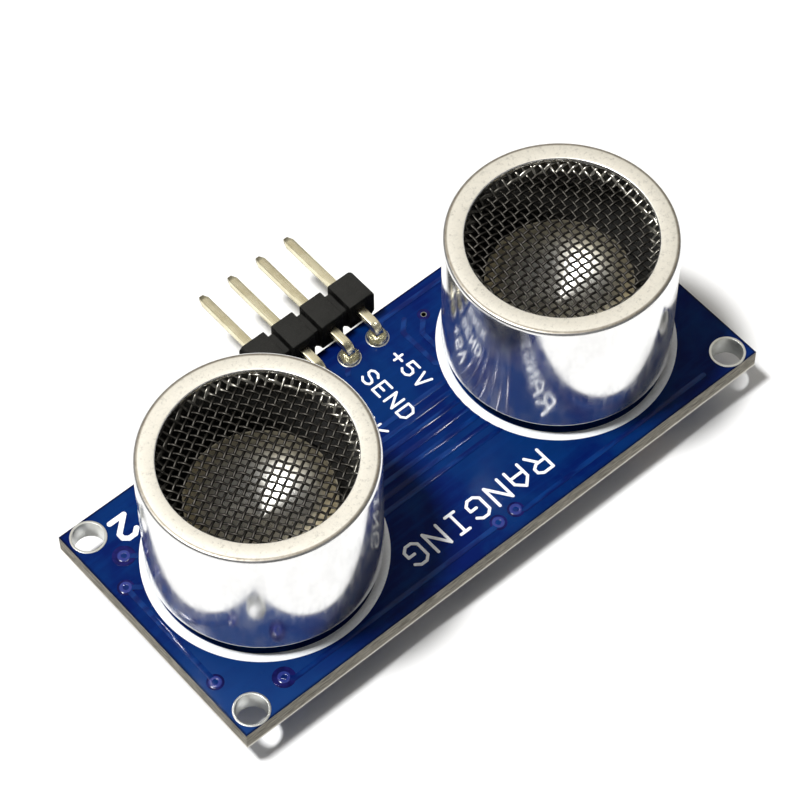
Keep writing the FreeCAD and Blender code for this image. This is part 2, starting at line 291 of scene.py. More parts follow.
def gathered(shapes):
    """Several bmeshes as one."""
    whole = bmesh.new()
    for shape in shapes:
        part = bpy.data.meshes.new("part")
        bmesh.ops.recalc_face_normals(shape, faces=shape.faces)
        shape.to_mesh(part)
        whole.from_mesh(part)
        shape.free()
        bpy.data.meshes.remove(part)
    return whole


def united(shapes):
    """Overlapping solids joined into one skin."""
    others = bpy.data.collections.new("strokes")
    bpy.context.scene.collection.children.link(others)
    strokes = []
    for shape in shapes:
        bmesh.ops.recalc_face_normals(shape, faces=shape.faces)
        mesh = bpy.data.meshes.new("stroke")
        shape.to_mesh(mesh)
        shape.free()
        strokes.append(placed("stroke", mesh, others if strokes else None))
    join = strokes[0].modifiers.new("join", "BOOLEAN")
    join.operation = "UNION"
    join.solver = "MANIFOLD"
    join.operand_type = "COLLECTION"
    join.collection = others
    whole = bmesh.new()
    whole.from_object(strokes[0], bpy.context.evaluated_depsgraph_get())
    for stroke in strokes:
        bpy.data.meshes.remove(stroke.data)
    bpy.data.collections.remove(others)
    bmesh.ops.remove_doubles(whole, verts=whole.verts, dist=WELD)
    bmesh.ops.dissolve_limit(whole, angle_limit=FLAT, verts=whole.verts, edges=whole.edges)
    return whole


def round_edges(bm, width, segments=2, least=30):
    """Bevels the edges that turn by more than least degrees."""
    edges = [e for e in bm.edges if len(e.link_faces) == 2
             and e.calc_face_angle() > math.radians(least)]
    bmesh.ops.bevel(bm, geom=edges, offset=width, offset_type="OFFSET", affect="EDGES",
                    segments=segments, profile=0.5, material=-1, clamp_overlap=True)


def from_node(node):
    """A clean copy of a CAD node's mesh, with its flat faces whole again."""
    bm = bmesh.new()
    bm.from_mesh(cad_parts[node].data)
    bmesh.ops.remove_doubles(bm, verts=bm.verts, dist=WELD)
    bmesh.ops.dissolve_limit(bm, angle_limit=FLAT, verts=bm.verts, edges=bm.edges)
    return bm


def islands(node):
    """The boxes of a CAD node's separate solids, as (low corner, high corner)."""
    bm = bmesh.new()
    bm.from_mesh(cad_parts[node].data)
    bmesh.ops.remove_doubles(bm, verts=bm.verts, dist=WELD)
    boxes = []
    left = set(bm.verts)
    while left:
        front = [left.pop()]
        low, high = front[0].co.copy(), front[0].co.copy()
        while front:
            vert = front.pop()
            low = Vector(map(min, low, vert.co))
            high = Vector(map(max, high, vert.co))
            near = {e.other_vert(vert) for e in vert.link_edges} & left
            left -= near
            front.extend(near)
        boxes.append((low, high))
    bm.free()
    return sorted(boxes, key=lambda box: (round(box[0].x, 6), round(box[0].y, 6)))


def centres(node):
    """Where a CAD node's separate solids lie across the board, from -X to +X."""
    return [middle_of(box).xy for box in islands(node)]


def route(start, *offsets):
    """A run of points, given in millimetres from start."""
    return [start + Vector(offset) * MM for offset in offsets]


def lay_tracks(name, runs, width, face, side, sides, segments, soften):
    """Mask-covered tracks along runs on one face, joined where they cross."""
    board = bpy.context.scene.module_board
    low, high = sorted((face - side * 0.01 * MM, face + side * board.track_relief))
    bm = united([shape for run in runs for shape in path(run, width, low, high, sides)])
    round_edges(bm, board.track_relief * soften, segments, 60)
    piece(name, bm, covered_copper_finish(board))


def placed(name, data, collection=None):
    """A new object in the scene that shows data."""
    made = bpy.data.objects.new(name, data)
    (collection or bpy.context.scene.collection).objects.link(made)
    return made


def finished(name, bm, material, sharp):
    """A new object of a finished shape; edges that turn by more than sharp stay crisp."""
    mesh = bpy.data.meshes.new(name)
    bm.to_mesh(mesh)
    bm.free()
    mesh.shade_smooth()
    mesh.set_sharp_from_angle(angle=sharp)
    mesh.materials.append(material)
    return placed(name, mesh)


def piece(name, bm, material, nodes=(), sharp=SHARP):
    """Makes a piece of the module, which may stand for CAD nodes."""
    bmesh.ops.recalc_face_normals(bm, faces=bm.faces)
    made = finished(name, bm, material, sharp)
    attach(made, "root")
    if nodes:
        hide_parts(*nodes)
    return made


def coat(material, *nodes):
    """Gives CAD nodes a finish."""
    for node in nodes:
        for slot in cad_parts[node].material_slots:
            slot.material = material


def brightened(colour, factor):
    """A colour made lighter or darker."""
    return tuple(min(1.0, channel * factor) for channel in colour[:3])


# ---- finishes ----------------------------------------------------------------------------

def mask_finish(settings):
    """Glossy solder mask on the faces, paler towards the -X -Y corner as a painted sheen; layered
    laminate on the cut edges and in the holes, painted pale along the lower edge as a highlight.
    """
    finish = Finish("solder_mask", specular_ior_level=0.03, coat_roughness=0.12, coat_ior=1.2)
    x, y, z = finish.axes()
    cloudy = finish.noise(0.22, 4.0, 0.55)
    streaks = finish.noise(1.0, 3.0, stretch=(0.25, 2.4, 1.0))
    weave = (x * 7.6).sine() * (y * 9.2).sine()
    blue = finish.blend(cloudy.between(0.4, 0.64), settings.mask_colour, settings.mask_pale)
    streaked = brightened(settings.mask_pale, 1.25)
    blue = finish.blend(streaks.between(0.45, 0.7) * 0.35, blue, streaked)
    # Paler blue towards the -X -Y corner: a painted sheen.
    corner = (x * -0.6 - y * 0.8).between(12.5, 22.0)
    blue = finish.blend(corner * 0.8, blue, (0.012, 0.05, 0.19))
    half_x, half_y = [side / 2 / MM for side in (BOARD_HIGH - BOARD_LOW).xy]
    inset = (half_x - abs(x)).smallest(half_y - abs(y))
    blue = finish.blend((1.0 - inset.between(0.06, 0.2)) * 0.8, blue, settings.mask_edge)
    flat = abs(finish.facing_up()) > 0.5
    layers = finish.noise(1.0, 4.0, 0.6, stretch=(0.9, 0.9, 9.0))
    cut = finish.noise(1.0, 3.0, stretch=(2.2, 2.2, 3.0))
    glass, resin = settings.laminate_pale, settings.laminate_dark
    edge = finish.blend(layers.between(0.36, 0.62), resin, glass)
    edge = finish.blend(cut.between(0.55, 0.75) * 0.5, edge, (0.17, 0.155, 0.12))
    # The lowest part of the cut edge is painted pale: a painted highlight along the board's lower
    # edge.
    edge = finish.blend(1.0 - z.between(0.05, 0.32), edge, (0.8, 0.77, 0.7))
    colour = finish.blend(flat, edge, blue)
    relief = flat * (cloudy * 0.5 + weave * 0.06 + streaks * 0.3) + (1.0 - flat) * layers * 1.6
    gloss = flat * (0.16 + 0.16 * finish.noise(1.7)) + (1.0 - flat) * 0.75
    return finish.feed(base_color=colour, roughness=gloss, coat_weight=flat * 0.16,
                       normal=finish.bump(relief, 0.03, 0.5))


def covered_copper_finish(settings):
    """Copper under the mask: a little paler and smoother than the bare board."""
    finish = Finish("mask_over_copper", specular_ior_level=0.1, coat_roughness=0.06, coat_ior=1.3)
    flow = finish.noise(0.8, 3.0, stretch=(0.5, 2.0, 1.0))
    colour = finish.blend(flow.between(0.35, 0.65), settings.mask_colour,
                          brightened(settings.mask_pale, 1.35))
    gloss = 0.14 + 0.14 * finish.noise(2.2)
    return finish.feed(base_color=colour, roughness=gloss, coat_weight=0.3,
                       normal=finish.bump(flow, 0.02, 0.4))


def tent_finish(settings):
    """Mask that has sagged into a hole: a pale violet crest about a dark dimple."""
    finish = Finish("mask_over_hole", specular_ior_level=0.4)
    crest = (abs(finish.axes()[2] - MID_BOARD) - HALF_BOARD).between(0.012, 0.038)
    tone = finish.noise(3.0)
    colour = finish.blend(crest, (0.003, 0.004, 0.03), (0.02, 0.035, 0.2))
    colour = finish.blend(tone.between(0.4, 0.7) * 0.4, colour, (0.022, 0.02, 0.17))
    return finish.feed(base_color=colour, roughness=0.12 + 0.12 * tone)


def covered_pad_finish():
    """A copper pad under the mask, which looks violet."""
    finish = Finish("mask_over_pad", specular_ior_level=0.1)
    tone = finish.noise(1.6, 3.0)
    colour = finish.blend(tone.between(0.35, 0.65), (0.004, 0.005, 0.055), (0.009, 0.009, 0.095))
    return finish.feed(base_color=colour, roughness=0.16 + 0.12 * tone)


def ink_finish(settings):
    """White marking ink, slightly uneven and matt."""
    finish = Finish("marking_ink", specular_ior_level=0.3)
    uneven = finish.noise(6.0, 4.0, 0.6)
    thin = finish.noise(1.1).between(0.62, 0.8)
    dull = brightened(settings.ink_colour, 0.86)
    colour = finish.blend(uneven.between(0.4, 0.7) * 0.5, settings.ink_colour, dull)
    colour = finish.blend(thin * 0.25, colour, (0.62, 0.7, 0.85))
    return finish.feed(base_color=colour, roughness=0.5 + 0.2 * uneven,
                       normal=finish.bump(uneven, 0.02, 0.5))


def metal_finish(name, pale, dull, grain=1.0, polish=0.12, tarnish=0.3):
    """Bare or plated metal with cloudy tarnish and fine grain."""
    finish = Finish(name, metallic=1.0)
    cloud = finish.noise(0.55 * grain, 4.0, 0.6)
    fine = finish.noise(9.0 * grain, 3.0, 0.7)
    colour = finish.blend(cloud.between(0.42, 0.68) * tarnish, pale, dull)
    gloss = polish + 0.14 * cloud + 0.1 * fine
    return finish.feed(base_color=colour, roughness=gloss, normal=finish.bump(fine, 0.006, 0.35))


def barrel_finish():
    """Tinned rim of a small plated hole, with the barrel's inside painted near black as shade."""
    finish = Finish("tinned_barrel", metallic=1.0)
    cloud = finish.noise(2.0, 4.0, 0.6)
    # Away from the faces the barrel is painted near black: painted shade inside the hole.
    outside = abs(finish.axes()[2] - MID_BOARD).between(HALF_BOARD - 0.12, HALF_BOARD - 0.02)
    rim = finish.blend(cloud * 0.5, (0.36, 0.38, 0.36), (0.2, 0.21, 0.2))
    colour = finish.blend(outside, (0.015, 0.014, 0.012), rim)
    return finish.feed(base_color=colour, roughness=0.3 + 0.2 * cloud,
                       normal=finish.bump(cloud, 0.01, 0.3))


def can_finish(settings):
    """Drawn aluminium: a bright wall with faint draw lines and a satin front face, with a painted
    dark reflection along the front edge.
    """
    finish = Finish("drawn_aluminium", metallic=1.0)
    top = finish.facing_up().between(0.75, 0.97)
    smears = finish.noise(1.0, 4.0, 0.6, stretch=(0.35, 0.35, 0.16))
    lines = finish.noise(1.0, 3.0, stretch=(2.2, 2.2, 0.5))
    scuffs = finish.noise(2.4, 4.0, 0.65)
    wall = finish.blend(smears.between(0.4, 0.7) * 0.5, settings.can_colour,
                        brightened(settings.can_colour, 0.86))
    face = finish.blend(scuffs.between(0.42, 0.7) * 0.45, settings.rim_colour,
                        brightened(settings.rim_colour, 0.8))
    radius = finish.can_radius()[2]
    centre, outside = CAN_CENTRE / MM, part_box("transmitter_can")[1].x / MM
    edge = outside - centre - settings.edge_round / MM
    # A dark brown ring where the front edge starts to round off: painted reflection of a dark
    # surrounding, broken up by the scuffs.
    line = (radius.between(edge - 0.1, edge + 0.03)
            * (1.0 - radius.between(edge + 0.13, edge + 0.26)))
    face = finish.blend(line * (0.5 + 0.6 * scuffs), face, (0.2, 0.165, 0.12))
    flecks = finish.noise(3.2, 5.0, 0.75).between(0.52, 0.68)
    face = finish.blend(flecks * 0.55, face, brightened(settings.rim_colour, 0.55))
    colour = finish.blend(top, wall, face)
    wall_gloss = settings.wall_roughness + 0.07 * smears + 0.05 * lines.between(0.45, 0.6)
    gloss = (1.0 - top) * wall_gloss + top * (settings.rim_roughness + 0.2 * scuffs)
    relief = (1.0 - top) * (lines * 0.5 + smears * 0.8) + top * scuffs
    haze = smears.between(0.45, 0.72) * 0.16 + 0.03
    return finish.feed(base_color=colour, roughness=gloss, metallic=1.0 - (1.0 - top) * haze,
                       normal=finish.bump(relief, 0.02, 0.22))


def cone_finish():
    """Spun aluminium: pale low in the bowl as a painted highlight, and brown towards its edge as
    painted shade.
    """
    finish = Finish("spun_aluminium", metallic=1.0)
    low, high = [corner.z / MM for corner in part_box("receiver_radiating_cone")]
    # Colour by height: paler low in the bowl (painted highlight), browner up towards the rim
    # (painted shade).
    outer = finish.axes()[2].between(low + 0.9, high - 0.4)
    cloud = finish.noise(1.1, 4.0, 0.6)
    fine = finish.noise(8.0, 3.0, 0.7)
    colour = finish.blend(outer, (0.92, 0.9, 0.84), (0.64, 0.58, 0.44))
    colour = finish.blend(cloud.between(0.45, 0.7) * 0.4, colour, (0.36, 0.3, 0.2))
    gloss = 0.2 + 0.1 * cloud + 0.06 * fine + 0.14 * outer
    return finish.feed(base_color=colour, roughness=gloss, normal=finish.bump(fine, 0.01, 0.4))


def screen_finish(settings):
    """Dark woven steel with paler crowns where the wires cross, from wear and a painted highlight,
    and a painted glint on the +X +Y side of the rising rim.
    """
    finish = Finish("screen_wire", metallic=1.0)
    # Upward-facing crowns are paler: wear together with a painted highlight.
    crown_wear_and_glint = finish.facing_up().between(0.8, 0.98)
    grime = finish.noise(1.3, 3.0, 0.6)
    wire = finish.blend(grime.between(0.35, 0.7), settings.wire_colour,
                        brightened(settings.wire_colour, 0.45))
    colour = finish.blend(crown_wear_and_glint * 0.15, wire, settings.wire_worn)
    across, along, radius = finish.can_radius()
    start = settings.dish_start / MM
    # A paler, smoother band on the rising rim, strongest towards +X +Y: a painted glint of the key
    # light.
    painted_rim_glint = (radius.between(start - 0.1, start + 0.25) * (1.0 - radius.between(6.9, 7.2))
              * (across * 0.94 + along * 0.34).between(0.5, 5.0, 0.12, 1.0))
    colour = finish.blend(painted_rim_glint * 0.75, colour, (0.5, 0.48, 0.42))
    gloss = 0.36 + 0.2 * grime - 0.16 * painted_rim_glint
    return finish.feed(base_color=colour, roughness=gloss,
                       normal=finish.bump(finish.noise(14.0), 0.006, 0.4))


def plastic_finish(name, colour, dust_and_lit_colour, gloss=0.42, grain=5.0, depth=0.02):
    """Moulded plastic with a fine texture, random dust, and upward faces painted paler as dust
    together with painted light.
    """
    finish = Finish(name, specular_ior_level=0.04)
    dust = finish.noise(1.4, 4.0, 0.6)
    # Upward faces are painted paler: settled dust together with painted light from above.
    settled_dust_and_light = finish.facing_up().between(0.6, 0.95)
    fine = finish.noise(grain * 4, 2.0)
    dust_and_top_light = dust.between(0.42, 0.72) * (0.35 + 0.65 * settled_dust_and_light) + settled_dust_and_light * 0.9
    shade = finish.blend(dust_and_top_light.smallest(1.0) * 0.78, colour, dust_and_lit_colour)
    return finish.feed(base_color=shade, roughness=gloss + 0.16 * dust,
                       normal=finish.bump(fine + dust * 0.5, depth, 0.5))


def ceramic_finish(name, colour, spots, gloss=0.35):
    """Fired ceramic or glaze with a faint speckle."""
    finish = Finish(name)
    speckle = finish.cells(7.0).between(0.1, 0.45)
    cloud = finish.noise(1.9, 3.0)
    shade = finish.blend(speckle, spots, colour)
    shade = finish.blend(cloud * 0.3, shade, brightened(colour, 0.75))
    return finish.feed(base_color=shade, roughness=gloss + 0.15 * cloud,
                       normal=finish.bump(speckle, 0.01, 0.3))


def solder_finish():
    """Bright solder with rosin in patches, darker olive towards the pin's neck."""
    finish = Finish("solder", metallic=1.0)
    grain = finish.noise(2.6, 4.0, 0.6)
    olive_darkening = finish.noise(1.8, 3.0, 0.6).between(0.45, 0.63)
    # Darker olive in a band towards the pin's neck on the front joints.
    neck = finish.axes()[2].between(FRONT / MM + 0.26, FRONT / MM + 0.46)
    olive_darkening = olive_darkening.largest(neck * 0.8)
    colour = finish.blend(olive_darkening * 0.8, (0.9, 0.87, 0.68), (0.24, 0.2, 0.055))
    return finish.feed(base_color=colour, roughness=0.1 + 0.2 * grain,
                       metallic=1.0 - olive_darkening * 0.3, normal=finish.bump(grain, 0.16, 0.8))


def pin_finish(settings):
    """Thin gold over brass, with a dark sheared tip."""
    finish = Finish("pin_plating", metallic=1.0)
    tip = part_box("supply_pin")[1].y / MM
    end = finish.axes()[1].between(tip - 0.5, tip - 0.08)
    draw = finish.noise(1.0, 3.0, stretch=(6.0, 0.5, 6.0))
    cloud = finish.noise(0.9, 3.0)
    tarnish = cloud.between(0.4, 0.7) * 0.5
    colour = finish.blend(tarnish, settings.pin_colour, settings.pin_shade)
    colour = finish.blend(end * 0.85, colour, (0.14, 0.12, 0.07))
    gloss = 0.2 + 0.14 * draw + 0.15 * end
    return finish.feed(base_color=colour, roughness=gloss, normal=finish.bump(draw, 0.01, 0.4))


# ---- settings ----------------------------------------------------------------------------

def size(name, description, millimetres):
    return FloatProperty(name=name, description=description, default=millimetres * MM,
                         min=0.0, precision=5, unit="LENGTH", subtype="DISTANCE")


def tint(name, description, colour):
    return FloatVectorProperty(name=name, description=description, default=colour,
                               size=3, min=0.0, max=1.0, subtype="COLOR")


def share(name, description, value, most=1.0):
    return FloatProperty(name=name, description=description, default=value, min=0.0, max=most)


class BoardSettings(bpy.types.PropertyGroup):
    """Solder mask, laminate and the copper that shows through the mask."""
    mask_colour: tint("Mask", "Colour of the solder mask", (0.0012, 0.0085, 0.085))
    mask_pale: tint("Mask patches", "Paler patches of the mask", (0.0016, 0.022, 0.115))
    mask_edge: tint("Mask edge", "Mask along the board's edges", (0.0008, 0.003, 0.02))
    laminate_pale: tint("Laminate", "Pale glass cloth in the cut edge", (0.31, 0.29, 0.245))
    laminate_dark: tint("Laminate layers", "Darker resin in the cut edge", (0.125, 0.117, 0.098))
    track_width: size("Track width", "Width of the tracks under the mask", 0.38)
    track_relief: size("Track relief", "Height of a covered track above the board", 0.035)
    track_pitch: size("Track pitch", "Spacing of the bus between the cans", 0.9)
    bus_start: size("Bus start", "Place of the bus's first track", 2.4)
    bus_count: IntProperty(name="Bus tracks", description="Tracks in the bus", default=7, min=1)
    back_track_width: size("Back tracks", "Width of the tracks on the back face", 0.28)
    pad_margin: size("Pad margin", "Solder that shows round each soldered foot", 0.12)
    pad_height: size("Pad height", "Height of a soldered pad", 0.06)
    tent_radius: size("Tent radius", "Radius of the mask cap over a small hole", 0.5)
    tent_height: size("Tent height", "Height of the mask cap's crest", 0.045)
    bare_reach: size("Bare ring", "Radius of the ring round the uncapped hole", 0.46)
    pad_reach: size("Hole pad", "Radius of the covered pad round a small hole", 0.8)


class InkSettings(bpy.types.PropertyGroup):
    """White marking ink on the front face."""
    ink_colour: tint("Ink", "Colour of the marking ink", (0.93, 0.95, 0.97))
    ink_height: size("Ink height", "Thickness of the ink", 0.04)
    ring_outer: size("Ring outside", "Outer radius of the ring round each can", 8.38)
    ring_inner: size("Ring inside", "Inner radius of the ring round each can", 7.74)
    title_height: size("Title height", "Capital height of the title", 1.9)
    title_stroke: size("Title stroke", "Stroke width of the title", 0.21)
    outline_stroke: size("Outline stroke", "Stroke width of the outlines on the back", 0.15)
    label_height: size("Label height", "Capital height of the pin labels", 1.3)
    label_stroke: size("Label stroke", "Stroke width of the pin labels", 0.175)


class CanSettings(bpy.types.PropertyGroup):
    """The drawn aluminium cans and what shows through their windows."""
    can_colour: tint("Can wall", "Colour of the bare aluminium", (0.9, 0.9, 0.9))
    rim_colour: tint("Can face", "Colour of the satin front face", (0.9, 0.868, 0.775))
    wall_roughness: share("Wall roughness", "Roughness of the can's wall", 0.085)
    rim_roughness: share("Face roughness", "Roughness of the can's front face", 0.36)
    wall: size("Wall", "Thickness of the can", 0.4)
    face_width: size("Face width", "Width of the flat front face", 1.47)
    edge_round: size("Edge round", "Radius of the front edge", 0.3)
    foot_round: size("Foot round", "Radius of the open end's edge", 0.2)
    segments: IntProperty(name="Segments", description="Steps round a can", default=256, min=32)


class ScreenSettings(bpy.types.PropertyGroup):
    """Plain-woven wire screens."""
    wire_colour: tint("Wire", "Colour of the wire", (0.018, 0.0168, 0.0145))
    # The crowns' colour stands for wear together with a painted highlight.
    wire_worn: tint("Worn wire", "Colour of the wire's worn crowns", (0.3, 0.28, 0.25))
    pitch: size("Pitch", "Spacing of the wires", 0.55)
    wire: size("Wire width", "Width of one wire", 0.2)
    border: size("Border", "Width of the pressed border", 0.55)
    dish_depth: size("Dish depth", "How far the screen's middle lies below its edge", 0.34)
    dish_start: size("Dish start", "Radius at which the screen begins to rise", 5.95)
    dish_end: size("Dish end", "Radius at which the screen has risen", 6.55)
    receiver_turn: FloatProperty(name="Receiver turn", description="Turn of the weave",
                                 default=math.radians(30), subtype="ANGLE")
    transmitter_turn: FloatProperty(name="Transmitter turn", description="Turn of the weave",
                                    default=math.radians(-4), subtype="ANGLE")


class HeaderSettings(bpy.types.PropertyGroup):
    """The pins, their moulding and their solder."""
    pin_colour: tint("Pin", "Colour of the pin plating", (0.86, 0.8, 0.58))
    pin_shade: tint("Pin tarnish", "Duller plating", (0.6, 0.53, 0.32))
    housing_colour: tint("Housing", "Colour of the moulding", (0.0045, 0.0045, 0.0042))
    pin_round: size("Pin edges", "Rounding of the pins' long edges", 0.05)
    bend_radius: size("Bend radius", "Radius of a pin's bend at its middle", 0.55)
    tip_length: size("Tip length", "Length of the pointed tip", 0.5)
    tip_width: size("Tip width", "Width at the very end", 0.34)
    housing_round: size("Housing edges", "Rounding of the moulding's edges", 0.13)
    solder_neck: size("Solder neck", "Radius where the solder meets the pin", 0.42)


class StageSettings(bpy.types.PropertyGroup):
    """Camera, floor and light."""
    azimuth: FloatProperty(name="Azimuth", description="Turn of the camera round the module",
                           default=math.radians(-40.26), subtype="ANGLE")
    elevation: FloatProperty(name="Elevation", description="Height angle of the camera",
                             default=math.radians(56.561), subtype="ANGLE")
    roll: FloatProperty(name="Roll", description="Tilt of the camera about its view",
                        default=math.radians(-0.624), subtype="ANGLE")
    distance: size("Distance", "From the camera to its aim point", 227.35)
    aim_x: size("Aim across", "Aim point, to the right of the centre", 1.602)
    aim_y: size("Aim along", "Aim point, towards the header", 3.261)
    lens: FloatProperty(name="Lens", description="Focal length", default=149.15, unit="CAMERA")
    key_strength: share("Key light", "Strength of the key light", 3.5, 20.0)
    key_width: FloatProperty(name="Key width", description="Angle that the key light fills",
                             default=math.radians(9), subtype="ANGLE")
    fill_strength: share("Fill light", "Strength of the warm fill light", 0.45, 20.0)
    fill_width: FloatProperty(name="Fill width", description="Angle that the fill light fills",
                              default=math.radians(60), subtype="ANGLE")
    room_strength: share("Room light", "Strength of the light from all round", 0.12, 10.0)
    floor_reach: size("Floor reach", "From the middle to the foot of the backdrop", 3000)
    wall_height: size("Backdrop height", "Height of the curved backdrop", 800)
    floor_colour: tint("Floor", "Colour of the floor", (0.93, 0.93, 0.925))


# ---- operators ---------------------------------------------------------------------------

class MODULE_OT_board(bpy.types.Operator):
    """Finish the circuit board's faces and cut edges"""
    bl_idname = "module.board"
    bl_label = "Circuit Board"

    def execute(self, context):
        coat(mask_finish(context.scene.module_board), "circuit_board")
        return {"FINISHED"}


class MODULE_OT_tracks(bpy.types.Operator):
    """Lay the mask-covered tracks on the front face"""
    bl_idname = "module.tracks"
    bl_label = "Tracks"

    def execute(self, context):
        settings = context.scene.module_board
        runs = self.bus(settings) + self.header_runs() + self.hole_runs()
        lay_tracks("front_tracks", runs, settings.track_width, FRONT, 1, 12, 2, 0.7)
        return {"FINISHED"}

    @staticmethod
    def bus(settings):
        """Parallel tracks that run from under one can to under the other."""
        left, right = [middle_of(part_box(name + "_can")).x for name in TRANSDUCERS]
        reach = bpy.context.scene.module_ink.ring_inner
        runs = []
        for i in range(settings.bus_count):
            y = settings.bus_start - i * settings.track_pitch
            half_chord = math.sqrt(reach ** 2 - y ** 2)
            runs.append([(left + half_chord, y), (right - half_chord, y)])
        return runs

    @staticmethod
    def header_runs():
        """Tracks that leave the header's pads, each with one or two slanting bends."""
        ground, echo, trigger, supply = centres("header_pads")
        bare = centres("via_barrels")[-1]
        level = supply.y + 0.88 * MM
        return [
            [supply, (supply.x + 1.1 * MM, level), (bare.x + 5.5 * MM, level)],
            route(bare, (-0.42, -0.42), (-1.1, -1.1), (-1.1, -3.41), (-0.44, -4.07)),
            route(bare, (-2.09, -0.22), (-2.09, -3.63), (-1.1, -4.62)),
            route(bare, (-2.09, -0.22), (-1.32, 0.55)),
            route(ground, (0, 0), (-1.1, -0.22), (-4.4, -0.22)),
            route(echo, (0, 0), (-0.66, -1.1), (-0.66, -2.2)),
            route(trigger, (0, 0), (-0.99, -0.99)),
        ]

    @staticmethod
    def hole_runs():
        """Tracks between the capped holes near the corners and under the cans."""
        low_left, high_left, upper, lower, mid_one, mid_two, _ = centres("via_barrels")
        return [
            [low_left, high_left],
            route(upper, (0, 0), (1.6, -1.3)),
            route(high_left, (0, 0), (1.28, -1.04)),
            route(lower, (0, 0), (0.5, -0.5))
            + [(mid_one.x - 0.5 * MM, lower.y - 0.5 * MM), mid_one],
            route(mid_two, (0, 0), (0.5, -0.4), (17, -0.4)),
        ]


class MODULE_OT_holes(bpy.types.Operator):
    """Make the mounting-hole rings, the header pads and the caps over the small holes"""
    bl_idname = "module.holes"
    bl_label = "Plated Holes"

    def execute(self, context):
        tinned = metal_finish("tinned_copper", (0.7, 0.71, 0.68), (0.42, 0.41, 0.35), 2.0, 0.2)
        coat(tinned, "transducer_pads")
        coat(barrel_finish(), "via_barrels")
        for node, bore, name in (("mounting_hole_plating", 1.1 * MM, "mounting_hole_rings"),
                                 ("header_pads", 0.5 * MM, "header_pad_rings")):
            shapes = []
            for low, high in islands(node):
                ring, wall, soft = (high.x - low.x) / 2, bore + 0.05 * MM, 0.02 * MM
                outline = [(bore, low.z, soft), (ring, low.z, soft), (ring, BACK, 0),
                           (wall, BACK, 0), (wall, FRONT, 0), (ring, FRONT, 0),
                           (ring, high.z, soft), (bore, high.z, soft)]
                shapes.append(lathe(rounded(outline, 3), middle_of((low, high)), 72))
            piece(name, gathered(shapes), tinned, [node])
        self.tents(context.scene.module_board)
        return {"FINISHED"}

    @staticmethod
    def tents(board):
        """Mask caps over all the small holes but the bare one beside the header."""
        holes = centres("via_barrels")
        wide, bare = holes[2:4], holes[-1]
        caps, pads = [], []
        reach, rise = board.tent_radius, board.tent_height
        crest = [(0, -0.6), (0.22, -0.5), (0.38, 0.7), (0.54, 1), (0.72, 1), (0.9, 0.5), (1, 0),
                 (1, -0.1), (0, -1.3)]
        for hole in holes:
            for face, side in FACES:
                inner, outer = 0.3 * MM, board.pad_reach * (1.0 if hole in wide else 0.75)
                if hole == bare:
                    inner, outer = 0.22 * MM, board.bare_reach
                else:
                    outline = [(across * reach, face + side * up * rise) for across, up in crest]
                    caps.append(lathe(outline, hole, 40, closed=False))
                buried, proud = face - side * SUNK, face + side * rise * 0.4
                outline = [(inner, buried, 0), (outer, buried, 0), (outer, proud, rise * 0.3),
                           (inner, proud, 0)]
                pads.append(lathe(rounded(outline, 3), hole, 48))
        piece("hole_caps", gathered(caps), tent_finish(board),
              sharp=math.radians(70))
        piece("hole_pads", gathered(pads), covered_pad_finish())


